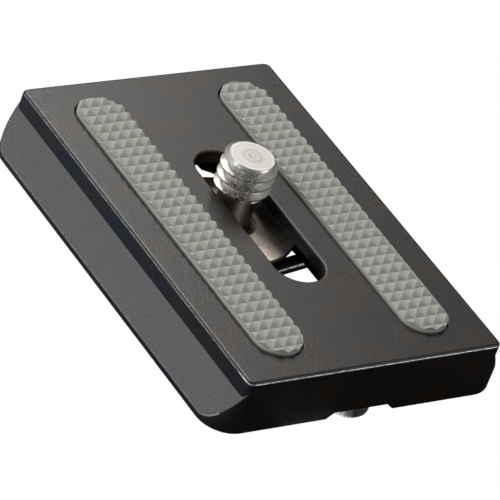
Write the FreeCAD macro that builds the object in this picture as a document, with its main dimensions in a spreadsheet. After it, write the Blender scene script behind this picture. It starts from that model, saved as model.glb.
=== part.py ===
"""Tripod quick release plate: a dovetail plate with a captive camera screw, its D-ring and two grip strips.

Millimetres. +Z is up, X runs across the dovetail and Y along it, with the far end at +Y. The origin is under the
middle of the plate, level with the lowest point of the screw's head, which hangs below the plate's underside.
"""

import FreeCAD, Part
import math
import os

import Sketcher

SIZES = {
    # plate
    "plate_length": 50.0,
    "plate_height": 7.0,
    "foot_width": 38.0,  # over the two dovetail wings
    "deck_width": 33.3,
    "deck_wall": 2.2,  # height of the deck's upright side wall
    "wing_rim": 0.7,  # upright edge of each wing
    "wing_corner": 3.6,  # plan radius of the foot's corners
    "deck_corner": 0.8,
    "deck_edge_round": 0.4,
    "web_thickness": 1.6,  # left above the recess
    "channel_depth": 0.75,  # lengthwise channel in the underside
    "channel_width": 7.0,
    "channel_flare": 0.9,  # each flank of the channel widens by this
    # slot
    "slot_length": 22.4,
    "rim_catch": 0.125,  # the slot is this much narrower than the thread on each side
    "slot_chamfer": 0.15,
    # grip strips
    "strip_spacing": 19.2,
    "strip_length": 43.4,
    "strip_gap": 0.18,
    "pocket_depth": 0.8,
    "grip_pitch": 1.46,
    "grip_columns": 4,
    "grip_height": 0.4,  # from valley to tip
    "grip_rise": 0.43,  # the valleys stand this far above the deck
    "grip_tip": 0.12,  # flat left on each pyramid
    "grip_turn": 0.85,  # degrees by which the moulded rows are askew in each strip
    "left_across_shift": 0.64,  # how far the rows' middle lies to the left of each strip's
    "right_across_shift": 0.32,
    "left_along_shift": 0.3,  # and how far nearer
    "right_along_shift": 0.44,
    # camera screw
    "screw_place": 4.35,  # where it stands along the slot
    "screw_turn": 8.9,  # degrees that it is turned from square
    "thread_diameter": 6.35,
    "thread_length": 4.75,
    "thread_lead_in": 0.55,
    "thread_runout": 0.4,
    "seat_clearance": 0.05,  # the thread stands this far above the slot's rim
    "neck_diameter": 4.5,
    "neck_fillet": 0.3,
    "head_diameter": 14.5,
    "head_thickness": 2.1,
    "head_chamfer": 0.3,
    "boss_diameter": 8.0,
    # washer
    "washer_overhang": 0.2,  # beyond the head's edge
    "washer_thickness": 0.58,
    "washer_chamfer": 0.12,
    "washer_bore": 5.9,
    "washer_shift": 0.35,  # loose on the neck, it lies this far nearer than the screw
    "washer_seat": 0.02,
    "washer_side_gap": 0.25,
    "washer_end_gap": 0.9,
    # D-ring
    "ring_wire": 1.8,
    "ring_leg_gap": 0.47,
    "ring_clearance": 0.1,  # under the plate, so that the ring can swing round
    "ring_stop_gap": 0.3,
    "ring_bow_round": 1.5,
    "ring_root_round": 1.1,
    "hinge_floor": 0.3,  # metal under the ring in the boss
    "hinge_clearance": 0.06,
    # stop screws
    "stop_head_diameter": 5.3,
    "stop_head_height": 1.62,
    "stop_chamfer": 0.4,
    "stop_end_margin": 0.05,
    "stop_shank_diameter": 3.0,
    "stop_shank_length": 3.5,
    "stop_thread_clearance": 0.04,
    "stop_socket_flats": 2.0,
    "stop_socket_depth": 0.9,
    "hole_end_gap": 0.6,  # beyond the stop screw's tip
}

doc = FreeCAD.newDocument("quick_release_plate")
sheet = doc.addObject("Spreadsheet::Sheet", "Sizes")
for row, (alias, size) in enumerate(SIZES.items(), start=1):
    sheet.set(f"A{row}", alias)
    sheet.set(f"B{row}", str(size))
    sheet.setAlias(f"B{row}", alias)
doc.recompute()


def size(text):
    """An expression on the sheet, with each size's name written out in full."""
    words = text.split()
    return " ".join(f"Sizes.{word}" if word in SIZES else word for word in words)


# What follows from the sizes
SLOT_WIDTH = size("( thread_diameter - 2 * rim_catch )")
NECK_TRAVEL = size("( slot_length / 2 - neck_diameter / 2 )")
AXIAL_PLAY = size("( hinge_floor + ring_wire + ring_clearance )")
WASHER_DIAMETER = size("( head_diameter + 2 * washer_overhang )")
RECESS_WIDTH = f"( {WASHER_DIAMETER} + " + size("2 * washer_side_gap )")
RECESS_LENGTH = f"( 2 * {NECK_TRAVEL} + {WASHER_DIAMETER} + " + size("2 * washer_end_gap )")
RECESS_DEPTH = size("( plate_height - web_thickness )")
PLATE_RISE = AXIAL_PLAY
BOSS_HEIGHT = f"( {RECESS_DEPTH} - " + size("washer_thickness - washer_seat - head_thickness )")
HEAD_TOP = f"( {BOSS_HEIGHT} + " + size("head_thickness )")
THREAD_FOOT = f"( {PLATE_RISE} + " + size("plate_height + seat_clearance )")
DECK_TOP = f"( {PLATE_RISE} + " + size("plate_height )")
HINGE_HEIGHT = size("( hinge_floor + ring_wire / 2 )")
STRIP_WIDTH = size("( grip_columns * grip_pitch )")
STOP_PLACE = size("( plate_length / 2 - stop_head_diameter / 2 - stop_end_margin )")
RING_REACH = f"( {STOP_PLACE} - {NECK_TRAVEL} - " + size("stop_head_diameter / 2 - ring_stop_gap )")
RING_LEG = size("( boss_diameter / 2 + ring_leg_gap + ring_wire / 2 )")


def value(expression):
    """The number that an expression on the sheet stands for."""
    return float(sheet.evalExpression(expression))


def new_body(label):
    body = doc.addObject("PartDesign::Body", label)
    body.Label = label
    return body


def place(body, **expressions):
    """Moves a body to x, y and z, and turns it about Z by turn degrees."""
    for axis in "xyz":
        if axis in expressions:
            body.setExpression(f"Placement.Base.{axis}", expressions[axis])
    if "turn" in expressions:
        body.Placement = FreeCAD.Placement(body.Placement.Base, FreeCAD.Rotation(FreeCAD.Vector(0, 0, 1), 1))
        body.setExpression("Placement.Rotation.Angle", f"{expressions['turn']} * 1 deg")


def origin_plane(body, role):
    return next(feature for feature in body.Origin.OriginFeatures if feature.Role == role)


def new_sketch(body, name, role, height=None):
    """A sketch on one of the body's own planes, lifted off it by height."""
    sketch = body.newObject("Sketcher::SketchObject", name)
    sketch.AttachmentSupport = [(origin_plane(body, role), "")]
    sketch.MapMode = "FlatFace"
    if height:
        sketch.setExpression("AttachmentOffset.Base.z", height)
    return sketch


def drive(sketch, constraint, expression):
    """Adds a dimension to the sketch and binds it to an expression."""
    index = sketch.addConstraint(constraint)
    sketch.setExpression(f"Constraints[{index}]", expression)


def fix_point(sketch, geometry, vertex, across, up):
    """Holds a sketch point at two expressions from the origin."""
    axes = (("DistanceX", across, -2), ("DistanceY", up, -1))
    for kind, expression, axis in axes:
        number = value(expression)
        if abs(number) < 1e-9:
            sketch.addConstraint(Sketcher.Constraint("PointOnObject", geometry, vertex, axis))
        elif number > 0:
            drive(sketch, Sketcher.Constraint(kind, -1, 1, geometry, vertex, number), expression)
        else:
            opposite = f"-1 * ( {expression} )"
            drive(sketch, Sketcher.Constraint(kind, geometry, vertex, -1, 1, -number), opposite)


def polygon(sketch, points):
    """A closed outline of straight lines through points, each given as two expressions."""
    corners = [FreeCAD.Vector(value(across), value(up), 0) for across, up in points]
    first = sketch.GeometryCount
    count = len(corners)
    for index in range(count):
        sketch.addGeometry(Part.LineSegment(corners[index], corners[(index + 1) % count]), False)
    for index, (across, up) in enumerate(points):
        following = first + (index + 1) % count
        sketch.addConstraint(Sketcher.Constraint("Coincident", first + index, 2, following, 1))
        fix_point(sketch, first + index, 1, across, up)


def circle(sketch, radius, across="0", up="0"):
    centre = FreeCAD.Vector(value(across), value(up), 0)
    index = sketch.addGeometry(Part.Circle(centre, FreeCAD.Vector(0, 0, 1), value(radius)), False)
    fix_point(sketch, index, 3, across, up)
    drive(sketch, Sketcher.Constraint("Radius", index, value(radius)), radius)


def rounded_outline(sketch, corners):
    """A closed outline of arcs joined by tangent lines: corners are (x, y, radius, start angle, end angle)."""
    first = sketch.GeometryCount
    ends = []
    for across, up, radius, start, end in corners:
        centre = FreeCAD.Vector(value(across), value(up), 0)
        whole = Part.Circle(centre, FreeCAD.Vector(0, 0, 1), value(radius))
        arc = Part.ArcOfCircle(whole, math.radians(start), math.radians(end))
        sketch.addGeometry(arc, False)
        ends.append((arc.StartPoint, arc.EndPoint))
    count = len(corners)
    for index in range(count):
        sketch.addGeometry(Part.LineSegment(ends[index][1], ends[(index + 1) % count][0]), False)
    for index, (across, up, radius, _start, _end) in enumerate(corners):
        arc = first + index
        line = first + count + index
        following = first + (index + 1) % count
        sketch.addConstraint(Sketcher.Constraint("Tangent", arc, 2, line, 1))
        sketch.addConstraint(Sketcher.Constraint("Tangent", line, 2, following, 1))
        fix_point(sketch, arc, 3, across, up)
        drive(sketch, Sketcher.Constraint("Radius", arc, value(radius)), radius)


def obround(sketch, length, width, centre="0"):
    """A round-ended slot along the sketch's second axis."""
    radius = f"( {width} ) / 2"
    rise = f"( {length} - {width} ) / 2"
    rounded_outline(sketch, [(centre, rise, radius, 0, 180), (centre, f"-1 * {rise}", radius, 180, 360)])


def rounded_rectangle(sketch, width, length, radius):
    across = f"( {width} / 2 - {radius} )"
    up = f"( {length} / 2 - {radius} )"
    corners = [(across, up, 0), (f"-1 * {across}", up, 90), (f"-1 * {across}", f"-1 * {up}", 180)]
    corners.append((across, f"-1 * {up}", 270))
    rounded_outline(sketch, [(x, y, radius, start, start + 90) for x, y, start in corners])


def rectangle(sketch, width, length):
    half_width, half_length = f"{width} / 2", f"{length} / 2"
    left, near = f"-1 * {half_width}", f"-1 * {half_length}"
    points = [(left, near), (half_width, near), (half_width, half_length), (left, half_length)]
    polygon(sketch, points)


def extrude(body, kind, name, sketch, length=None, upwards=True, both_ways=False):
    """A Pad or Pocket of a sketch. With no length a Pocket goes through everything."""
    feature = body.newObject(f"PartDesign::{kind}", name)
    feature.Profile = sketch
    if length:
        feature.setExpression("Length", length)
    else:
        feature.Type = "ThroughAll"
    if both_ways:
        feature.Midplane = True
    elif kind == "Pocket":
        feature.Reversed = upwards
    sketch.Visibility = False
    doc.recompute()
    return feature


def revolve(body, name, points):
    """A turned solid from half of its section, given as radius and height."""
    sketch = new_sketch(body, f"{name}_section", "XZ_Plane")
    polygon(sketch, points)
    feature = body.newObject("PartDesign::Revolution", name)
    feature.Profile = sketch
    feature.ReferenceAxis = (sketch, ["V_Axis"])
    feature.Angle = 360
    sketch.Visibility = False
    doc.recompute()
    return feature


def soften(body, kind, name, wanted, expression):
    """A Fillet or Chamfer on the edges of the body's last feature that wanted says yes to."""
    tip = body.Tip
    names = [f"Edge{index}" for index, edge in enumerate(tip.Shape.Edges, start=1) if wanted(edge)]
    feature = body.newObject(f"PartDesign::{kind}", name)
    feature.Base = (tip, names)
    feature.setExpression("Radius" if kind == "Fillet" else "Size", expression)
    doc.recompute()
    return feature


def pattern(body, feature, name, spacing, count):
    """Repeats a feature in equal steps along the first axis of its own sketch."""
    copies = body.newObject("PartDesign::LinearPattern", name)
    copies.Originals = [feature]
    copies.Direction = (feature.Profile[0], ["H_Axis"])
    copies.Occurrences = count
    copies.setExpression("Length", f"{spacing} * {count - 1}")
    body.Tip = copies
    doc.recompute()
    return copies


def close(first, second):
    return abs(first - second) < 1e-4


def lies_at_height(edge, height):
    box = edge.BoundBox
    return close(box.ZMin, height) and close(box.ZMax, height)


def make_plate_body():
    """The machined block: dovetail section, rounded plan, slot, recess, channel, pockets and stop holes."""
    body = new_body("plate_body")
    place(body, z=PLATE_RISE)
    height, half_deck = value(size("plate_height")), value(size("deck_width / 2"))
    wall_foot = size("( plate_height - deck_wall )")

    section = new_sketch(body, "dovetail_section", "XZ_Plane")
    right = [(size("foot_width / 2"), "0"), (size("foot_width / 2"), size("wing_rim"))]
    right += [(size("deck_width / 2"), wall_foot), (size("deck_width / 2"), size("plate_height"))]
    left = [(f"-1 * {across}", up) for across, up in reversed(right)]
    polygon(section, right + left)
    extrude(body, "Pad", "block", section, size("plate_length"), both_ways=True)

    plan = new_sketch(body, "plan_trim", "XY_Plane")
    rounded_rectangle(plan, size("foot_width"), size("plate_length"), size("wing_corner"))
    rectangle(plan, size("( 2 * foot_width )"), size("( 2 * plate_length )"))
    extrude(body, "Pocket", "rounded_corners", plan, size("plate_height"))

    def deck_corner(edge):
        box = edge.BoundBox
        upright = close(box.XMin, box.XMax) and close(box.YMin, box.YMax)
        return upright and close(abs(box.XMin), half_deck)

    soften(body, "Fillet", "deck_corners", deck_corner, size("deck_corner"))
    soften(body, "Fillet", "deck_edge", lambda edge: lies_at_height(edge, height), size("deck_edge_round"))

    channel = new_sketch(body, "channel_section", "XZ_Plane")
    mouth, roof = size("( channel_width / 2 + channel_flare )"), size("channel_width / 2")
    points = [(mouth, "0"), (roof, size("channel_depth"))]
    polygon(channel, points + [(f"-1 * {across}", up) for across, up in reversed(points)])
    extrude(body, "Pocket", "channel", channel, size("2 * plate_length"), both_ways=True)

    recess = new_sketch(body, "recess_outline", "XY_Plane")
    obround(recess, RECESS_LENGTH, RECESS_WIDTH)
    extrude(body, "Pocket", "recess", recess, RECESS_DEPTH)

    slot = new_sketch(body, "slot_outline", "XY_Plane")
    obround(slot, size("slot_length"), SLOT_WIDTH)
    extrude(body, "Pocket", "slot", slot, size("2 * plate_height"))

    def slot_rim(edge):
        box = edge.BoundBox
        inside = max(abs(box.XMin), abs(box.XMax)) < value(SLOT_WIDTH)
        return inside and lies_at_height(edge, height)

    soften(body, "Chamfer", "slot_rim", slot_rim, size("slot_chamfer"))

    pockets = new_sketch(body, "strip_pockets", "XY_Plane", height=size("plate_height"))
    length, width = size("( strip_length + 2 * strip_gap )"), f"( {STRIP_WIDTH} + {size('2 * strip_gap )')}"
    for side in ("", "-1 * "):
        obround(pockets, length, width, side + size("strip_spacing / 2"))
    extrude(body, "Pocket", "grip_pockets", pockets, size("pocket_depth"), upwards=False)

    holes = new_sketch(body, "stop_holes", "XY_Plane")
    for side in ("", "-1 * "):
        circle(holes, size("( stop_shank_diameter / 2 + stop_thread_clearance )"), "0", side + STOP_PLACE)
    extrude(body, "Pocket", "stop_screw_holes", holes, size("channel_depth + stop_shank_length + hole_end_gap"))
    return body


def make_grip_strip(label, hand, side):
    """A rubber strip whose top is cut into rows of small square pyramids by two crossing sets of V grooves."""
    body = new_body(label)
    valley = size("( pocket_depth + grip_rise )")
    place(body, x=side + size("strip_spacing / 2"), z=f"{DECK_TOP} - {size('pocket_depth')}")
    outline = new_sketch(body, f"{label}_outline", "XY_Plane")
    obround(outline, size("strip_length"), STRIP_WIDTH)
    extrude(body, "Pad", f"{label}_pad", outline, f"{valley} + {size('grip_height')}")

    crown = f"( {valley} + {size('grip_height')} )"
    pitch, mouth = size("grip_pitch"), size("( grip_pitch - grip_tip ) / 2")
    runs = (("across", "XZ_Plane", STRIP_WIDTH), ("along", "YZ_Plane", size("strip_length")))
    for run, plane, extent in runs:
        shift = size(f"{hand}_{run}_shift")
        reach = value(f"{extent} / 2 + {mouth}")
        first = math.ceil((value(shift) - reach) / value(pitch))
        count = math.floor((value(shift) + reach) / value(pitch)) - first + 1
        groove = new_sketch(body, f"{label}_{run}_groove", plane)
        groove.AttachmentOffset = FreeCAD.Placement(FreeCAD.Vector(), FreeCAD.Rotation(FreeCAD.Vector(0, 1, 0), 1))
        groove.setExpression("AttachmentOffset.Base.x", f"-1 * {shift}")
        groove.setExpression("AttachmentOffset.Rotation.Angle", size("grip_turn * 1 deg"))
        start = f"( {first} * {pitch} )"
        polygon(groove, [(f"{start} - {mouth}", crown), (start, valley), (f"{start} + {mouth}", crown)])
        cut = extrude(body, "Pocket", f"{label}_{run}_cut", groove, size("2 * strip_length"), both_ways=True)
        pattern(body, cut, f"{label}_{run}_cuts", pitch, count)
    return body


def make_camera_screw():
    """The captive screw: hinge boss, round head, neck and thread, turned in one piece and cross-drilled."""
    body = new_body("camera_screw")
    place(body, y=size("screw_place"), turn=size("screw_turn"))
    head, boss = size("head_diameter / 2"), size("boss_diameter / 2")
    neck, thread = size("neck_diameter / 2"), size("thread_diameter / 2")
    chamfer, lead_in = size("head_chamfer"), size("thread_lead_in")
    thread_top = f"( {THREAD_FOOT} + {size('thread_length')} )"
    section = [
        ("0", "0"),
        (f"{boss} - {chamfer}", "0"),
        (boss, chamfer),
        (boss, BOSS_HEIGHT),
        (f"{head} - {chamfer}", BOSS_HEIGHT),
        (head, f"{BOSS_HEIGHT} + {chamfer}"),
        (head, f"{HEAD_TOP} - {chamfer}"),
        (f"{head} - {chamfer}", HEAD_TOP),
        (f"{neck} + {size('neck_fillet')}", HEAD_TOP),
        (neck, f"{HEAD_TOP} + {size('neck_fillet')}"),
        (neck, THREAD_FOOT),
        (thread, f"{THREAD_FOOT} + {size('thread_runout')}"),
        (thread, f"{thread_top} - {lead_in}"),
        (f"{thread} - {lead_in}", thread_top),
        ("0", thread_top),
    ]
    revolve(body, "turned_screw", section)

    hole = new_sketch(body, "hinge_hole", "XZ_Plane")
    circle(hole, size("( ring_wire / 2 + hinge_clearance )"), "0", HINGE_HEIGHT)
    extrude(body, "Pocket", "cross_hole", hole, size("2 * boss_diameter"), both_ways=True)
    return body


def make_screw_washer():
    """The flat washer that lies on the screw's head and slides with it."""
    body = new_body("screw_washer")
    place(body, y=size("screw_place - washer_shift"), z=f"{HEAD_TOP} + {size('washer_seat')}")
    bore = size("washer_bore / 2")
    edge, chamfer, top = f"{WASHER_DIAMETER} / 2", size("washer_chamfer"), size("washer_thickness")
    section = [(bore, "0"), (f"{edge} - {chamfer}", "0"), (edge, chamfer), (edge, f"{top} - {chamfer}")]
    section += [(f"{edge} - {chamfer}", top), (bore, top)]
    revolve(body, "flat_washer", section)
    return body


def make_d_ring():
    """The wire ring: a straight hinge bar through the boss, two legs and a rounded bow, bent in one piece."""
    body = new_body("d_ring")
    place(body, y=size("screw_place"), z=HINGE_HEIGHT, turn=size("screw_turn"))
    wire = size("ring_wire / 2")
    far = f"( {RING_REACH} - {wire} )"
    root, bow = size("ring_root_round"), size("ring_bow_round")

    path = new_sketch(body, "half_ring_path", "XY_Plane")
    leg, reach, root_radius, bow_radius = value(RING_LEG), value(far), value(root), value(bow)
    vector = FreeCAD.Vector
    up, out = vector(0, 0, 1), math.pi / 2
    root_arc = Part.Circle(vector(root_radius, leg - root_radius, 0), up, root_radius)
    bow_arc = Part.Circle(vector(reach - bow_radius, leg - bow_radius, 0), up, bow_radius)
    path.addGeometry(Part.LineSegment(vector(0, 0, 0), vector(0, leg - root_radius, 0)), False)
    path.addGeometry(Part.ArcOfCircle(root_arc, out, math.pi), False)
    path.addGeometry(Part.LineSegment(vector(root_radius, leg, 0), vector(reach - bow_radius, leg, 0)), False)
    path.addGeometry(Part.ArcOfCircle(bow_arc, 0, out), False)
    path.addGeometry(Part.LineSegment(vector(reach, leg - bow_radius, 0), vector(reach, 0, 0)), False)
    for first, first_end, second, second_end in ((0, 2, 1, 2), (1, 1, 2, 1), (2, 2, 3, 2), (3, 1, 4, 1)):
        path.addConstraint(Sketcher.Constraint("Tangent", first, first_end, second, second_end))
    fix_point(path, 0, 1, "0", "0")
    fix_point(path, 1, 3, root, f"{RING_LEG} - {root}")
    fix_point(path, 3, 3, f"{far} - {bow}", f"{RING_LEG} - {bow}")
    drive(path, Sketcher.Constraint("Radius", 1, root_radius), root)
    drive(path, Sketcher.Constraint("Radius", 3, bow_radius), bow)
    path.addConstraint(Sketcher.Constraint("PointOnObject", 4, 2, -1))

    profile = new_sketch(body, "wire_section", "XZ_Plane")
    circle(profile, wire)
    half = body.newObject("PartDesign::AdditivePipe", "half_ring")
    half.Profile = profile
    half.Spine = path
    doc.recompute()
    whole = body.newObject("PartDesign::Mirrored", "whole_ring")
    whole.Originals = [half]
    whole.MirrorPlane = (origin_plane(body, "XZ_Plane"), [""])
    body.Tip = whole
    doc.recompute()
    return body


def make_stop_screw(label, side):
    """A small socket-head screw under one end of the plate, standing out of the channel."""
    body = new_body(label)
    place(body, y=side + STOP_PLACE, z=f"{PLATE_RISE} + {size('channel_depth - stop_head_height')}")
    head, shank = size("stop_head_diameter / 2"), size("stop_shank_diameter / 2")
    chamfer, head_height = size("stop_chamfer"), size("stop_head_height")
    tip = f"( {head_height} + {size('stop_shank_length')} )"
    tip_chamfer = f"{chamfer} / 2"
    section = [("0", "0"), (f"{head} - {chamfer}", "0"), (head, chamfer), (head, head_height)]
    section += [(shank, head_height), (shank, f"{tip} - {tip_chamfer}"), (f"{shank} - {tip_chamfer}", tip), ("0", tip)]
    revolve(body, f"{label}_turned", section)

    socket = new_sketch(body, f"{label}_socket", "XY_Plane")
    flats = size("stop_socket_flats")
    corner, half_side, half_flat = f"{flats} / sqrt(3)", f"{flats} / sqrt(12)", f"{flats} / 2"
    points = [(corner, "0"), (half_side, half_flat), (f"-1 * {half_side}", half_flat), (f"-1 * {corner}", "0")]
    points += [(f"-1 * {half_side}", f"-1 * {half_flat}"), (half_side, f"-1 * {half_flat}")]
    polygon(socket, points)
    extrude(body, "Pocket", f"{label}_hexagon", socket, size("stop_socket_depth"))
    return body


parts = [
    make_plate_body(),
    make_grip_strip("grip_strip_left", "left", "-1 * "),
    make_grip_strip("grip_strip_right", "right", ""),
    make_screw_washer(),
    make_camera_screw(),
    make_d_ring(),
    make_stop_screw("stop_screw_near", "-1 * "),
    make_stop_screw("stop_screw_far", ""),
]
doc.recompute()

for item in doc.Objects:
    for state in ("Invalid", "Error"):
        if state in item.State:
            raise RuntimeError(f"{item.Name} is {state}")
os.makedirs("parts", exist_ok=True)
for part in parts:
    shape = part.Shape
    if shape.isNull() or not shape.isValid() or len(shape.Solids) != 1:
        raise RuntimeError(f"{part.Label} has no valid single solid")
    shape.exportStep(f"parts/{part.Label}.step")
    box = shape.BoundBox
    print(f"{part.Label}: {shape.Volume:.1f} mm3, {len(shape.Faces)} faces, "
          f"x {box.XMin:.2f} to {box.XMax:.2f}, y {box.YMin:.2f} to {box.YMax:.2f}, z {box.ZMin:.2f} to {box.ZMax:.2f}")
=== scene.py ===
"""Looks of a tripod quick release plate: black block, grey rubber grips, bright camera screw.

Metres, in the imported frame: +Z up, +Y towards the plate's far end. Angles are in degrees.
"""

import math

import bmesh
import bpy
from mathutils import Matrix, Vector


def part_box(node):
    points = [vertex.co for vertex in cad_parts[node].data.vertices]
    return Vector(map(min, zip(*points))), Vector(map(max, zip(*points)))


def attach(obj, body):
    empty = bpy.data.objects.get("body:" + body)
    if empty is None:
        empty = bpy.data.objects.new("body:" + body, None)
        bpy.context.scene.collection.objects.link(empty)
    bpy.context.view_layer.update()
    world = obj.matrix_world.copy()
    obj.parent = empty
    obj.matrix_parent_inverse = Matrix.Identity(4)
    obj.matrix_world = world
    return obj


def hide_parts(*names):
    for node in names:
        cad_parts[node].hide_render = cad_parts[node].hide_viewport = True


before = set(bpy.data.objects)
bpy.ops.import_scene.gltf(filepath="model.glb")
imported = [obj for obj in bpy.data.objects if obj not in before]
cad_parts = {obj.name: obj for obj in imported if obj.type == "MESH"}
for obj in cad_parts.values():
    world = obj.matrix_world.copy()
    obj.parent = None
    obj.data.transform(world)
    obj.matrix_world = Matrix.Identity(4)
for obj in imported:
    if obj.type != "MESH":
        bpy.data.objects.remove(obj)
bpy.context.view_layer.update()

MM = 0.001
UP = Vector((0, 0, 1))

# The photograph's camera
CAMERA_PLACE = Vector((-282.17, -293.26, 286.24)) * MM
CAMERA_RIGHT = Vector((0.8134, -0.5019, 0.2934))
CAMERA_DOWN = Vector((-0.1121, -0.6304, -0.7680))
CAMERA_AHEAD = Vector((0.5705, 0.5919, -0.5693))
CAMERA_CLIP = (0.05, 20)
FOCAL_PIXELS = 4550.2
PICTURE_PIXELS = 500
SENSOR_WIDTH = 36.0

# Lamps: name, place, width, height, power and colour
LAMPS = (
    ("key", (0.06, 0.25, 0.32), 0.30, 0.30, 1.45, (1.0, 0.97, 0.93)),
    ("back_left", (-0.50, 0.38, 0.15), 0.34, 0.24, 0.76, (1.0, 1.0, 1.0)),
    ("left", (-0.34, 0.08, 0.26), 0.16, 0.16, 0.45, (0.97, 0.99, 1.0)),
    ("front_right", (0.27, -0.24, 0.26), 0.16, 0.16, 0.20, (1.0, 1.0, 1.0)),
    ("low_right", (0.28, -0.40, 0.014), 0.30, 0.024, 0.20, (1.0, 1.0, 1.0)),
    ("low_left", (-0.40, 0.295, 0.014), 0.30, 0.024, 0.17, (1.0, 0.99, 0.97)),
    ("low_front", (-0.46, -0.22, 0.045), 0.40, 0.08, 0.45, (1.0, 1.0, 1.0)),
)
LAMP_TARGET = Vector((0, 0, 0.006))
SKY_LIGHT = 0.12
SKY_MIRRORED = 0.06

# Floor: its colours, and a patch on it under the near stop screw that glows white to mirrored rays
# only, a painted reflection in that screw; each edge of the patch fades in or out
FLOOR_SIZE = 3.0
FLOOR_DARK = (0.025, 0.025, 0.025)
FLOOR_LIT = (0.20, 0.24, 0.33)
FLOOR_LIT_BAND = (0.0, 0.03)
GLOW_PATCH_LEFT = (-9.0 * MM, -7.0 * MM)
GLOW_PATCH_RIGHT = (-1.6 * MM, 0.4 * MM)
GLOW_PATCH_NEAR = (-26.5 * MM, -26.0 * MM)
GLOW_PATCH_FAR = (-16.0 * MM, -15.0 * MM)
WHITE = (1, 1, 1, 1)

# Meshes
WELD_DISTANCE = 0.0005 * MM
FLAT_ANGLE = 0.5
LEVEL_TOLERANCE = 1e-7
BEVEL_SEGMENTS = 2

# Plate, and the edge facets painted bright, partly as worn metal and partly as highlight lines
DECK_HEIGHT = 9.2 * MM
RIM_HEIGHT = 2.9 * MM
PLATE_ROUNDING = 0.09 * MM
PLATE_CORNER_ANGLE = 28
PLATE_SHARP_ANGLE = 24
PLATE_FLAT_AREA = 10 * MM * MM
# Edge facets that get painted highlight lines, with some wear, chosen by height and slope
WORN_HIGHLIGHT_BELOW_DECK = (0.18 * MM, 0.34 * MM)
WORN_HIGHLIGHT_ABOVE_RIM = (-0.1 * MM, 1.5 * MM)
WORN_HIGHLIGHT_SLOPE = (0.03, 0.5)
OUTER_HALF_WIDTH = 16.2 * MM
OUTER_HALF_LENGTH = 24.5 * MM
NEAR_END = (22.0 * MM, 24.6 * MM)
RIM_FADE = (RIM_HEIGHT + 1.0 * MM, RIM_HEIGHT + 1.6 * MM)

# Grips
VALLEY_HEIGHT = 9.63 * MM
TIP_HEIGHT = 10.03 * MM
GRIP_ROUNDING = 0.05 * MM
GRIP_CORNER_ANGLE = 20
GRIP_SHARP_ANGLE = 30
GRIP_FLAT_AREA = 0.1 * MM * MM
GRIP_WALL_FADE = (VALLEY_HEIGHT - 0.04 * MM, VALLEY_HEIGHT)
# A ragged band of painted shade at the grips' foot, where they meet the deck
GRIP_FOOT_SHADE_FADE = (DECK_HEIGHT + 0.22 * MM, DECK_HEIGHT + 0.36 * MM)
GRIP_FOOT_SHADE_RAGGEDNESS = 0.24 * MM

# Camera screw: its thread, its upper end, and the heights between which its looks change
THREAD_PITCH = 1.27 * MM
THREAD_RADIUS = 3.175 * MM
THREAD_DEPTH = 0.6875 * MM
THREAD_FOOT = 9.25 * MM
THREAD_RUNOUT = 0.4 * MM
ROOT_WIDTH = THREAD_PITCH / 4
CREST_WIDTH = THREAD_PITCH / 8
FLANK_RISE = THREAD_PITCH * 5 / 16
FLANK_STEPS = 4
CREST_MIDDLE = 0.625 * THREAD_PITCH
CREST_HEIGHT = 11.4 * MM
CREST_DIRECTION = 226.6
SPARE_TURNS = 3
TURN_STEPS = 72
THREAD_WELD = 0.002 * MM
NECK_RADIUS = 2.25 * MM
NECK_GAP = 0.1 * MM
SCREW_TOP = 14.0 * MM
SCREW_TOP_RADIUS = 2.55 * MM
CHAMFER_SLOPE = 1.1
END_CIRCLES = ((0.5 * MM, 0.0), (0.4 * MM, 0.0), (0.02 * MM, 0.02 * MM))
SCREW_SHARP_ANGLE = 24
# The side of the thread where soil is painted heavier, as painted shade
SOILED_SHADED_SIDE = (2.2 * MM, 3.0 * MM)
# Where the painted glint lies across the neck
NECK_GLINT_STREAK = (0.93, 0.99)
SUNK_FADE = (DECK_HEIGHT - 0.6 * MM, DECK_HEIGHT + 0.8 * MM)
WELL_FADE = (DECK_HEIGHT - 3.6 * MM, DECK_HEIGHT - 3.2 * MM)
END_FACE_FADE = (SCREW_TOP - 0.03 * MM, SCREW_TOP - 0.01 * MM)

# Stop screws
KNURL_RIDGES = 36
KNURL_DEPTH = 0.16 * MM
KNURL_CHAMFER = 0.4 * MM
KNURL_FOOT = 0.12 * MM
KNURL_FOOT_INSET = 0.3 * MM
HEAD_HEIGHT = 1.62 * MM
HEAD_EDGE = 0.6 * KNURL_CHAMFER
HEAD_INSET = KNURL_DEPTH * 1.3
STOP_SHARP_ANGLE = 18

# Colours of the plate
ANODISED_COOL = (0.0040, 0.0075, 0.0125)
ANODISED_WARM = (0.0165, 0.0100, 0.0050)
ANODISED_GRAIN = (0.0180, 0.0165, 0.0150)
DUST = (0.16, 0.16, 0.17)
# Edge and rim colours: partly wear, partly painted highlight; the rim's are raised as painted
# highlight
EDGE_DULL = (0.06, 0.06, 0.06)
EDGE_WORN_HIGHLIGHT = (0.13, 0.13, 0.135)
EDGE_BARE_HIGHLIGHT = (0.66, 0.66, 0.67)
RIM_WORN_HIGHLIGHT = (0.29, 0.285, 0.28)
RIM_BARE_HIGHLIGHT = (0.90, 0.90, 0.92)

# Colours of the grips
RUBBER_DARK = (0.315, 0.322, 0.290)
RUBBER_LIGHT = (0.375, 0.382, 0.350)
# Painted shade of the valleys between the pyramids
RUBBER_VALLEY = (0.20, 0.20, 0.18)
# Painted light on the grips' side wall, which lies in shade
RUBBER_WALL = (0.55, 0.55, 0.50)
RUBBER_GRAIN = (0.46, 0.46, 0.42)
GRIP_FOOT_SHADE = (0.10, 0.085, 0.065)

# Colours of the steels
STEEL_DULL = (0.80, 0.78, 0.74)
STEEL_BRIGHT = (0.92, 0.90, 0.87)
STEEL_PITS = (0.40, 0.37, 0.33)
STEEL_SOIL_AND_SHADE = (0.10, 0.075, 0.055)
# Painted shade of the screw down in the slot
STEEL_SUNK = (0.34, 0.28, 0.23)
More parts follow.
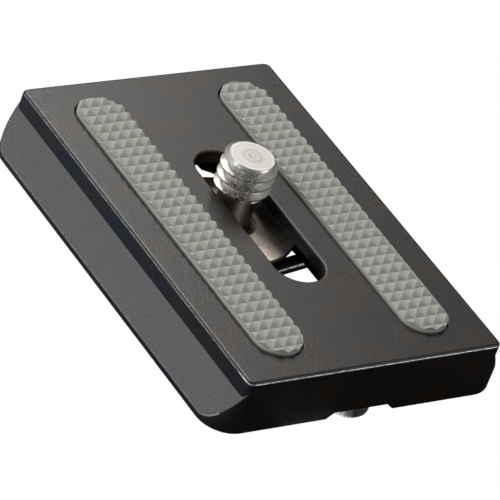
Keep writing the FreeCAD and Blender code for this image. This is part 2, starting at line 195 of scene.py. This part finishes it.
# Painted shade of the screw deep in the well
STEEL_WELL = (0.09, 0.08, 0.068)
STEEL_STAIN = (0.24, 0.20, 0.16)
# A darker copy of the steel for the end face, painted shade against the strong light from above
END_LIGHT = (0.56, 0.555, 0.54)
END_DARK = (0.38, 0.375, 0.36)
# Painted shade of the knurl's grooves
KNURL_DARK = (0.42, 0.40, 0.37)
WASHER_LIGHT = (0.90, 0.83, 0.74)
WASHER_DARK = (0.66, 0.60, 0.52)
WIRE_LIGHT = (0.60, 0.60, 0.60)
WIRE_DARK = (0.42, 0.42, 0.42)

# Scales of noise, from fine to broad
LATHE_MARKS = 9000
BLASTED_GRAIN = 6500
FINE_GRAIN = 5200
STEEL_GRAIN = 4600
SOIL_AND_SHADE_GRAIN = 3400
CLOTH_GRAIN = 2600
WEAR_GRAIN = 1900
BROAD_MARKS = 1500
STAIN_SPOTS = 1100
RAGGED_EDGE = 900
TURNING_STREAKS = 900
STEEL_PATCHES = 500
RUBBER_PATCHES = 260
ANODISED_PATCHES = 200

# How far noise is squeezed upright: many times for streaks round a screw, a fraction for its ribs
STREAKS_SQUEEZE = 9
RIBS_SQUEEZE = 0.03


class Wire:
    """A shader socket whose arithmetic makes Math nodes."""

    def __init__(self, shader, socket):
        self.shader = shader
        self.socket = socket

    def __add__(self, other):
        return self.shader.math("ADD", self, other)

    __radd__ = __add__

    def __sub__(self, other):
        return self.shader.math("SUBTRACT", self, other)

    def __rsub__(self, other):
        return self.shader.math("SUBTRACT", other, self)

    def __mul__(self, other):
        return self.shader.math("MULTIPLY", self, other)

    def __truediv__(self, other):
        return self.shader.math("DIVIDE", self, other)


class Shader:
    """A material, or the world, under construction."""

    def __init__(self, owner):
        self.owner = owner
        owner.use_nodes = True
        self.tree = owner.node_tree
        self.tree.nodes.clear()

    def node(self, kind, settings=None, inputs=None, output=0):
        """Adds a node, sets it up, fills or links its sockets, and returns an output, if any."""
        node = self.tree.nodes.new(kind)
        for key, setting in (settings or {}).items():
            setattr(node, key, setting)
        for key, content in (inputs or {}).items():
            if isinstance(content, Wire):
                self.tree.links.new(content.socket, node.inputs[key])
            else:
                node.inputs[key].default_value = content
        return Wire(self, node.outputs[output]) if node.outputs else None

    def math(self, operation, first, second):
        return self.node("ShaderNodeMath", {"operation": operation}, {0: first, 1: second})

    def rays(self):
        """Whether a ray comes from the camera, through something clear, or off a mirror."""
        kinds = ("Is Camera Ray", "Is Transmission Ray", "Is Glossy Ray")
        return [self.node("ShaderNodeLightPath", output=kind) for kind in kinds]

    def place(self):
        return self.node("ShaderNodeTexCoord", output="Object")

    def axes(self):
        """The place's X, Y and Z."""
        split = self.node("ShaderNodeSeparateXYZ", inputs={0: self.place()}).socket.node
        return [Wire(self, split.outputs[name]) for name in "XYZ"]

    def radius(self, centre):
        """Distance from an upright axis."""
        kind = "ShaderNodeVectorMath"
        arm = self.node(kind, {"operation": "SUBTRACT"}, {0: self.place(), 1: centre})
        arm = self.node(kind, {"operation": "MULTIPLY"}, {0: arm, 1: (1, 1, 0)})
        return self.node(kind, {"operation": "LENGTH"}, {0: arm}, output="Value")

    def noise(self, scale, detail, squeeze=None):
        place = self.place()
        if squeeze:
            inputs = {"Vector": place, "Scale": (1, 1, squeeze)}
            place = self.node("ShaderNodeMapping", inputs=inputs)
        inputs = {"Vector": place, "Scale": scale, "Detail": detail}
        return self.node("ShaderNodeTexNoise", inputs=inputs)

    def circles(self, radius, scale, detail):
        """Noise that changes only with the distance from an axis."""
        inputs = {"W": radius, "Scale": scale, "Detail": detail}
        return self.node("ShaderNodeTexNoise", {"noise_dimensions": "1D"}, inputs)

    def ramp(self, factor, start, end, floor=0.0):
        """A level that climbs from floor to 1 while a factor goes from start to end."""
        level = self.node("ShaderNodeValToRGB", inputs={"Fac": factor})
        low, high = level.socket.node.color_ramp.elements
        low.position, low.color = start, (floor, floor, floor, 1)
        high.position, high.color = end, (1, 1, 1, 1)
        return level

    def mix(self, factor, first, second):
        """A colour between two, each a wire or three numbers."""
        first, second = (
            colour if isinstance(colour, Wire) else (*colour, 1) for colour in (first, second)
        )
        inputs = {0: factor, 6: first, 7: second}
        return self.node("ShaderNodeMix", {"data_type": "RGBA"}, inputs, output=2)

    def above(self, wire, low, high):
        """0 up to low and 1 from high on."""
        inputs = {"Value": wire, "From Min": low, "From Max": high}
        return self.node("ShaderNodeMapRange", {"clamp": True}, inputs)

    def below(self, wire, low, high):
        """1 up to low and 0 from high on."""
        return 1.0 - self.above(wire, low, high)

    def bump(self, height, depth, strength, normal=None):
        inputs = {"Height": height, "Distance": depth, "Strength": strength}
        if normal:
            inputs["Normal"] = normal
        return self.node("ShaderNodeBump", inputs=inputs)

    def finish(self, **inputs):
        """Closes the material with a Principled shader."""
        sockets = {key.replace("_", " "): content for key, content in inputs.items()}
        surface = self.node("ShaderNodeBsdfPrincipled", inputs=sockets)
        self.node("ShaderNodeOutputMaterial", inputs={"Surface": surface})
        return self.owner


def new_shader(name):
    return Shader(bpy.data.materials.new(name))


def black_anodising():
    """Satin black with a bead-blasted grain, faint cool and warm patches and specks of dust."""
    shader = new_shader("black_anodising")
    grain = shader.noise(BLASTED_GRAIN, 2.0)
    cloth = shader.noise(CLOTH_GRAIN, 3.0)
    patches = shader.ramp(shader.noise(ANODISED_PATCHES, 3.0), 0.38, 0.62)
    specks = shader.ramp(shader.noise(FINE_GRAIN, 0.0), 0.835, 0.855)

    colour = shader.mix(patches, ANODISED_COOL, ANODISED_WARM)
    colour = shader.mix(grain * 0.35, colour, ANODISED_GRAIN)
    colour = shader.mix(specks * 0.6, colour, DUST)
    roughness = 0.20 + grain * 0.16 + cloth * 0.06
    normal = shader.bump(cloth, 0.013 * MM, 0.7)
    normal = shader.bump(grain, 0.028 * MM, 0.9, normal)
    return shader.finish(Base_Color=colour, Roughness=roughness, Normal=normal)


def worn_edge_highlight():
    """Outer edges painted as bright metal here and there, and most at the near end: partly wear,
    and partly painted highlight lines along the deck's edge and the wings' rim.
    """
    shader = new_shader("worn_edge_highlight")
    _, along, height = shader.axes()
    highlight_wear_patches = shader.ramp(shader.noise(WEAR_GRAIN, 4.0), 0.34, 0.66)
    near_end = shader.above(0.0 - along, *NEAR_END)
    rim = shader.below(height, *RIM_FADE)

    colour = shader.mix(highlight_wear_patches, EDGE_DULL, EDGE_WORN_HIGHLIGHT)
    # The near end's edge is painted brightest, a painted highlight line
    colour = shader.mix(near_end * (highlight_wear_patches * 0.7 + 0.3), colour, EDGE_BARE_HIGHLIGHT)
    # The rim is painted brighter, a painted highlight on a face that mirrors shade
    rim_colour = shader.mix(near_end, RIM_WORN_HIGHLIGHT, RIM_BARE_HIGHLIGHT)
    colour = shader.mix(rim * (highlight_wear_patches * 0.5 + 0.5), colour, rim_colour)
    roughness = 0.26 + shader.noise(FINE_GRAIN, 2.0) * 0.14
    return shader.finish(Base_Color=colour, Metallic=0.9, Roughness=roughness)


def grey_rubber():
    """Matt grey rubber: painted shade in the valleys, a pale wall that is painted light, and
    painted shade where it meets the deck.
    """
    shader = new_shader("grey_rubber")
    height = shader.axes()[2]
    patches = shader.noise(RUBBER_PATCHES, 3.0)
    grain = shader.noise(FINE_GRAIN, 2.0)
    # Darker towards the valleys: painted shade between the pyramids
    valley = shader.below(height, VALLEY_HEIGHT, TIP_HEIGHT)
    # The wall is painted pale: painted light on a face that lies in shade
    wall = shader.below(height, *GRIP_WALL_FADE)
    # Painted shade at the foot, where the grip meets the deck
    ragged = height + shader.noise(RAGGED_EDGE, 3.0) * GRIP_FOOT_SHADE_RAGGEDNESS
    foot = shader.below(ragged, *GRIP_FOOT_SHADE_FADE)

    colour = shader.mix(patches, RUBBER_DARK, RUBBER_LIGHT)
    colour = shader.mix(valley * 0.45 - wall * 0.45, colour, RUBBER_VALLEY)
    colour = shader.mix(wall * 0.8, colour, RUBBER_WALL)
    colour = shader.mix(foot * 0.85, colour, GRIP_FOOT_SHADE)
    colour = shader.mix(grain * 0.35, colour, RUBBER_GRAIN)
    normal = shader.bump(grain, 0.02 * MM, 0.5)
    return shader.finish(Base_Color=colour, Roughness=0.58 + grain * 0.16, Normal=normal)


def turned_steel(centre):
    """Stainless steel, ringed by the lathe: soil on its thread with painted shade on its near-left
    side, painted shade down in the slot and the well with a painted glint on the neck, and a darker
    end face.
    """
    shader = new_shader("turned_steel")
    across, along, height = shader.axes()
    nearer = centre[1] - along
    radius = shader.radius(centre)
    rings = shader.circles(radius, LATHE_MARKS, 2.0)
    broad = shader.circles(radius, BROAD_MARKS, 1.0)
    streaks = shader.noise(TURNING_STREAKS, 3.0, STREAKS_SQUEEZE)
    grit = shader.noise(FINE_GRAIN, 2.0)

    # Light soil everywhere, painted much heavier on the near-left side as painted shade of the
    # thread
    soiled_shaded_side = shader.above(nearer * 0.66 - across * 0.75, *SOILED_SHADED_SIDE)
    soil_and_shade = shader.ramp(shader.noise(SOIL_AND_SHADE_GRAIN, 4.0), 0.40, 0.58) * (0.12 + soiled_shaded_side * 0.8)
    colour = shader.mix(broad, STEEL_DULL, STEEL_BRIGHT)
    colour = shader.mix(shader.ramp(grit, 0.50, 0.70) * 0.35, colour, STEEL_PITS)
    colour = shader.mix(soil_and_shade, colour, STEEL_SOIL_AND_SHADE)

    # Painted shade down in the slot
    sunk = shader.below(height, *SUNK_FADE)
    # A painted glint: a bright upright streak on the neck's near side, cut out of the slot's
    # painted shade
    neck_glint = shader.above((nearer * 0.89 - across * 0.45) / radius, *NECK_GLINT_STREAK)
    neck_glint = neck_glint * shader.ramp(shader.noise(CLOTH_GRAIN, 3.0), 0.35, 0.6, floor=0.3)
    colour = shader.mix(sunk * (0.8 - neck_glint * 0.75), colour, STEEL_SUNK)

    # The end face gets a darker copy of the steel, painted shade against the light from above, with
    # lathe rings
    end_face = shader.above(height, *END_FACE_FADE)
    end_colour = shader.mix(shader.ramp(broad, 0.32, 0.68), END_LIGHT, END_DARK)
    colour = shader.mix(end_face, colour, end_colour)
    # Painted shade, darkest, deep in the well under the deck
    well = shader.below(height, *WELL_FADE)
    colour = shader.mix(well * 0.9, colour, STEEL_WELL)

    roughness = 0.26 + rings * 0.08 + grit * 0.10
    normal = shader.bump(rings + broad, 0.006 * MM, 0.5)
    normal = shader.bump(streaks, 0.010 * MM, 0.4, normal)
    normal = shader.bump(grit * (1.0 - end_face * 0.9), 0.010 * MM, 0.4, normal)
    return shader.finish(Base_Color=colour, Metallic=1.0, Roughness=roughness, Normal=normal)


def rolled_steel(name, light, dark, gloss):
    """Plain stained steel with a fine grain, for the washer and the ring."""
    shader = new_shader(name)
    grit = shader.noise(STEEL_GRAIN, 3.0)
    colour = shader.mix(shader.noise(STEEL_PATCHES, 2.0), light, dark)
    colour = shader.mix(shader.ramp(grit, 0.5, 0.75) * 0.5, colour, dark)
    stain = shader.ramp(shader.noise(STAIN_SPOTS, 6.0), 0.48, 0.68)
    colour = shader.mix(stain * 0.40, colour, STEEL_STAIN)
    roughness = gloss + grit * 0.2
    normal = shader.bump(grit, 0.008 * MM, 0.4)
    return shader.finish(Base_Color=colour, Metallic=1.0, Roughness=roughness, Normal=normal)


def knurled_steel():
    """Steel with upright ribs of painted light and shade, for the stop screws."""
    shader = new_shader("knurled_steel")
    # Upright stripes of painted light and shade standing in for the knurl's ridges and grooves
    ribs = shader.ramp(shader.noise(BROAD_MARKS, 1.0, RIBS_SQUEEZE), 0.42, 0.58)
    grit = shader.noise(STEEL_GRAIN, 3.0)
    colour = shader.mix(ribs, STEEL_BRIGHT, KNURL_DARK)
    roughness = 0.30 + grit * 0.2
    normal = shader.bump(ribs, 0.04 * MM, 0.6)
    normal = shader.bump(grit, 0.008 * MM, 0.4, normal)
    return shader.finish(Base_Color=colour, Metallic=1.0, Roughness=roughness, Normal=normal)


def floor_paper():
    """White to the camera and clear from below; a patch of it is also white to mirrored rays, a
    painted reflection in the near stop screw.
    """
    shader = new_shader("floor_paper")
    camera, transmission, mirrored = shader.rays()
    across, along, _ = shader.axes()
    # A patch that glows white to mirrored rays: a painted reflection in the near stop screw
    glow_patch = shader.above(across, *GLOW_PATCH_LEFT) * shader.below(across, *GLOW_PATCH_RIGHT)
    glow_patch = glow_patch * shader.above(along, *GLOW_PATCH_NEAR) * shader.below(along, *GLOW_PATCH_FAR)
    seen = shader.math("MAXIMUM", camera, transmission)
    seen = shader.math("MAXIMUM", seen, mirrored * glow_patch)

    lit_side = shader.above(along * 0.4 - across, *FLOOR_LIT_BAND)
    grey = shader.mix(lit_side, FLOOR_DARK, FLOOR_LIT)
    paper = shader.node("ShaderNodeBsdfDiffuse", inputs={"Color": grey})
    white = shader.node("ShaderNodeEmission", inputs={"Color": WHITE, "Strength": 1.0})
    surface = shader.node("ShaderNodeMixShader", inputs={0: seen, 1: paper, 2: white})
    from_below = shader.node("ShaderNodeNewGeometry", output="Backfacing")
    clear = shader.node("ShaderNodeBsdfTransparent")
    surface = shader.node("ShaderNodeMixShader", inputs={0: from_below, 1: surface, 2: clear})
    shader.node("ShaderNodeOutputMaterial", inputs={"Surface": surface})
    return shader.owner


def add_object(name, data):
    thing = bpy.data.objects.new(name, data)
    bpy.context.scene.collection.objects.link(thing)
    return thing


def add_mesh(name, mesh):
    """Turns a bmesh into mesh data."""
    data = bpy.data.meshes.new(name)
    mesh.to_mesh(data)
    mesh.free()
    return data


def merged_mesh(node):
    """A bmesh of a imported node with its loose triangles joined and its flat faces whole."""
    mesh = bmesh.new()
    mesh.from_mesh(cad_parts[node].data)
    bmesh.ops.remove_doubles(mesh, verts=mesh.verts, dist=WELD_DISTANCE)
    bmesh.ops.dissolve_limit(
        mesh,
        angle_limit=math.radians(FLAT_ANGLE),
        use_dissolve_boundaries=False,
        verts=mesh.verts,
        edges=mesh.edges,
    )
    return mesh


def corner_angle(edge):
    """The angle between an edge's two faces in degrees, positive where the edge stands out."""
    if len(edge.link_faces) != 2:
        return 0.0
    return math.degrees(edge.calc_face_angle_signed(0.0))


def round_edges(mesh, least_angle, width):
    bmesh.ops.bevel(
        mesh,
        geom=[edge for edge in mesh.edges if corner_angle(edge) > least_angle],
        offset=width,
        offset_type="OFFSET",
        segments=BEVEL_SEGMENTS,
        profile=0.5,
        affect="EDGES",
        clamp_overlap=False,
        material=-1,
    )


def shade(mesh, sharp_angle, flat_area=math.inf):
    """Smooth shading with crisp corners, in which faces larger than flat_area stay truly flat."""
    for face in mesh.faces:
        face.smooth = face.calc_area() < flat_area
    for edge in mesh.edges:
        edge.smooth = abs(corner_angle(edge)) < sharp_angle


def axis_foot(node):
    """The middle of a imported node, seen from above."""
    low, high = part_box(node)
    return Vector(((low.x + high.x) / 2, (low.y + high.y) / 2, 0))


def level_arm(vert, centre):
    """The level way from an upright axis out to a vertex."""
    arm = vert.co - centre
    arm.z = 0
    return arm


def cut_level(mesh, height, above):
    """Cuts a mesh level and drops what lies above or below."""
    bmesh.ops.bisect_plane(
        mesh,
        geom=[*mesh.verts, *mesh.edges, *mesh.faces],
        plane_co=(0, 0, height),
        plane_no=UP,
        clear_outer=above,
        clear_inner=not above,
    )


def loop_at(mesh, height):
    """The open edges that lie at a height."""
    def is_level(edge):
        return all(abs(vert.co.z - height) < LEVEL_TOLERANCE for vert in edge.verts)

    return [edge for edge in mesh.edges if edge.is_boundary and is_level(edge)]


def grow(mesh, loop):
    """Extrudes a loop of edges in place, and returns the new vertices and edges."""
    grown = bmesh.ops.extrude_edge_only(mesh, edges=loop)["geom"]
    kinds = (bmesh.types.BMVert, bmesh.types.BMEdge)
    return [[part for part in grown if isinstance(part, kind)] for kind in kinds]


def add_piece(mesh, name, materials, body, slot, *nodes):
    """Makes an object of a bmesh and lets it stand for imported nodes."""
    data = add_mesh(name, mesh)
    for material in materials:
        data.materials.append(material)
    piece = add_object(name, data)
    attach(piece, body)
    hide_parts(*nodes)


def is_within(measure, span):
    return span[0] < measure < span[1]


def is_worn_highlight_facet(face):
    """Whether a facet lies low on the deck's rounded edge, or on the wings next to their rim."""
    centre = face.calc_center_median()
    is_outer = abs(centre.x) > OUTER_HALF_WIDTH or abs(centre.y) > OUTER_HALF_LENGTH
    by_deck = is_within(DECK_HEIGHT - centre.z, WORN_HIGHLIGHT_BELOW_DECK)
    by_rim = is_within(centre.z - RIM_HEIGHT, WORN_HIGHLIGHT_ABOVE_RIM)
    return is_outer and (by_deck or by_rim) and is_within(face.normal.z, WORN_HIGHLIGHT_SLOPE)


def make_plate(anodised, worn_highlight_material):
    """The block with its outer corners just broken."""
    mesh = merged_mesh("plate_body")
    round_edges(mesh, PLATE_CORNER_ANGLE, PLATE_ROUNDING)
    shade(mesh, PLATE_SHARP_ANGLE, PLATE_FLAT_AREA)
    # Facets that slope the way highlight lines fall get the painted highlight material
    for face in mesh.faces:
        face.material_index = int(is_worn_highlight_facet(face))
    add_piece(mesh, "plate_block", (anodised, worn_highlight_material), "plate", "plate", "plate_body")


def make_grip(node, material):
    """A strip whose pyramids have the soft edges of moulded rubber."""
    mesh = merged_mesh(node)
    round_edges(mesh, GRIP_CORNER_ANGLE, GRIP_ROUNDING)
    shade(mesh, GRIP_SHARP_ANGLE, GRIP_FLAT_AREA)
    add_piece(mesh, f"{node}_rubber", (material,), "plate", "grip", node)


def thread_profile():
    """One pitch of the 60 degree thread's outline, as radius and rise, with steps on its flanks."""
    root = THREAD_RADIUS - THREAD_DEPTH
    crest_end = ROOT_WIDTH + FLANK_RISE + CREST_WIDTH
    points = [(root, 0.0), (root, ROOT_WIDTH / 2), (root, ROOT_WIDTH)]
    for step in range(1, FLANK_STEPS + 1):
        climb = THREAD_DEPTH * step / FLANK_STEPS
        points.append((root + climb, ROOT_WIDTH + FLANK_RISE * step / FLANK_STEPS))
    for step in range(FLANK_STEPS + 1):
        fall = THREAD_DEPTH * step / FLANK_STEPS
        points.append((THREAD_RADIUS - fall, crest_end + FLANK_RISE * step / FLANK_STEPS))
    return points


def sweep_thread(centre, top):
    """A helical thread from its foot to the screw's top, with a crest in a known place."""
    facing = math.radians(CREST_DIRECTION)
    outward = Vector((math.cos(facing), math.sin(facing), 0))
    start = CREST_HEIGHT - CREST_MIDDLE - SPARE_TURNS * THREAD_PITCH
    turns = math.ceil((top - start) / THREAD_PITCH) + 1

    thread = bmesh.new()
    chain = [
        thread.verts.new(centre + outward * radius + UP * (start + rise))
        for radius, rise in thread_profile()
    ]
    edges = [thread.edges.new(pair) for pair in zip(chain, chain[1:])]
    bmesh.ops.spin(
        thread,
        geom=[*chain, *edges],
        cent=centre,
        axis=UP,
        dvec=UP * (THREAD_PITCH / TURN_STEPS),
        angle=math.tau * turns,
        steps=TURN_STEPS * turns,
        use_merge=False,
        use_duplicate=False,
    )
    bmesh.ops.remove_doubles(thread, verts=thread.verts, dist=THREAD_WELD)
    cut_level(thread, THREAD_FOOT, above=False)
    cut_level(thread, top, above=True)
    return thread


def turn_down(thread, centre, top):
    """Chamfers a thread at its top and lets it run out into the neck below."""
    runout_slope = (THREAD_RADIUS - NECK_RADIUS) / THREAD_RUNOUT
    for vert in thread.verts:
        arm = level_arm(vert, centre)
        chamfer = SCREW_TOP_RADIUS + (top - vert.co.z) * CHAMFER_SLOPE
        runout = NECK_RADIUS + (vert.co.z - THREAD_FOOT) * runout_slope
        limit = min(chamfer, runout)
        if arm.length > limit:
            vert.co -= arm * (1 - limit / arm.length)


def close_top(thread, centre, top):
    """Closes a thread with a flat end face that has a small mark at its centre."""
    loop = loop_at(thread, top)
    for radius, sunk in END_CIRCLES:
        verts, loop = grow(thread, loop)
        for vert in verts:
            arm = level_arm(vert, centre)
            vert.co = centre + arm * (radius / arm.length) + UP * (top - sunk)
    bmesh.ops.edgeloop_fill(thread, edges=loop)


def make_camera_screw(material):
    """The turned screw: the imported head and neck, with a true helical thread above them."""
    centre = axis_foot("camera_screw")
    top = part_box("camera_screw")[1].z
    thread = sweep_thread(centre, top)
    turn_down(thread, centre, top)
    close_top(thread, centre, top)
    upper = add_mesh("upper_screw", thread)

    mesh = merged_mesh("camera_screw")
    neck_top = THREAD_FOOT - NECK_GAP
    cut_level(mesh, neck_top, above=True)
    mesh.from_mesh(upper)
    bpy.data.meshes.remove(upper)
    bmesh.ops.bridge_loops(mesh, edges=loop_at(mesh, neck_top) + loop_at(mesh, THREAD_FOOT))
    bmesh.ops.recalc_face_normals(mesh, faces=mesh.faces)
    shade(mesh, SCREW_SHARP_ANGLE)
    add_piece(mesh, "camera_screw_turned", (material,), "screw", "screw", "camera_screw")


def make_stop_screw(node, material):
    """A stop screw with a straight knurl round its head, which is drawn in a little under it."""
    low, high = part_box(node)
    centre = axis_foot(node)
    radius = (high.x - low.x) / 2

    mesh = merged_mesh(node)
    for vert in mesh.verts:
        arm = level_arm(vert, centre)
        if arm.length > radius - HEAD_EDGE:
            vert.co -= arm * (HEAD_INSET / radius)

    ring = bmesh.ops.create_circle(
        mesh, segments=KNURL_RIDGES * 2, radius=radius, cap_ends=False
    )["verts"]
    for index, vert in enumerate(ring):
        if index % 2:
            vert.co *= 1 - KNURL_DEPTH / radius
        vert.co += centre + UP * (low.z + KNURL_CHAMFER)
    loop = list({edge for vert in ring for edge in vert.link_edges})
    foot, _ = grow(mesh, loop)
    for vert in foot:
        vert.co = centre + (vert.co - centre) * (1 - KNURL_FOOT_INSET / radius)
        vert.co.z = low.z + KNURL_FOOT
    crown, _ = grow(mesh, loop)
    for vert in crown:
        vert.co.z = low.z + HEAD_HEIGHT
    shade(mesh, STOP_SHARP_ANGLE)
    add_piece(mesh, f"{node}_knurled", (material,), "plate", "stop", node)


def softbox(name, place, width, height, power, colour):
    """A soft rectangular lamp that looks at the plate."""
    data = bpy.data.lights.new(name, "AREA")
    data.shape = "RECTANGLE"
    data.size, data.size_y = width, height
    data.energy = power
    data.color = colour
    lamp = add_object(name, data)
    lamp.location = place
    lamp.rotation_mode = "QUATERNION"
    lamp.rotation_quaternion = (LAMP_TARGET - Vector(place)).to_track_quat("-Z", "Y")


def make_studio():
    """A floor and a world that are white to the camera, four soft lamps above, three low ones."""
    mesh = bmesh.new()
    bmesh.ops.create_grid(mesh, x_segments=1, y_segments=1, size=FLOOR_SIZE)
    floor = add_object("floor", add_mesh("floor", mesh))
    floor.data.materials.append(floor_paper())

    world = bpy.data.worlds.new("studio")
    bpy.context.scene.world = world
    sky = Shader(world)
    camera, transmission, mirrored = sky.rays()
    strength = SKY_LIGHT + (camera + transmission) * (1.0 - SKY_LIGHT) + mirrored * SKY_MIRRORED
    light = sky.node("ShaderNodeBackground", inputs={"Color": WHITE, "Strength": strength})
    sky.node("ShaderNodeOutputWorld", inputs={"Surface": light})

    for lamp in LAMPS:
        softbox(*lamp)


def make_camera():
    data = bpy.data.cameras.new("camera")
    data.sensor_width = SENSOR_WIDTH
    data.lens = SENSOR_WIDTH * FOCAL_PIXELS / PICTURE_PIXELS
    data.clip_start, data.clip_end = CAMERA_CLIP
    camera = add_object("camera", data)
    turn = Matrix((CAMERA_RIGHT, -CAMERA_DOWN, -CAMERA_AHEAD)).transposed().to_4x4()
    camera.matrix_world = Matrix.Translation(CAMERA_PLACE) @ turn
    bpy.context.scene.camera = camera


bpy.context.scene.view_settings.view_transform = "Standard"
make_camera()
make_studio()

rubber = grey_rubber()
stop_steel = knurled_steel()
make_plate(black_anodising(), worn_edge_highlight())
make_grip("grip_strip_left", rubber)
make_grip("grip_strip_right", rubber)
make_camera_screw(turned_steel(axis_foot("camera_screw")))
make_stop_screw("stop_screw_near", stop_steel)
make_stop_screw("stop_screw_far", stop_steel)

packed_finishes = (
    ("screw_washer", rolled_steel("washer_steel", WASHER_LIGHT, WASHER_DARK, 0.44)),
    ("d_ring", rolled_steel("wire_steel", WIRE_LIGHT, WIRE_DARK, 0.16)),
)
for node, material in packed_finishes:
    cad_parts[node].data.materials.clear()
    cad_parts[node].data.materials.append(material)
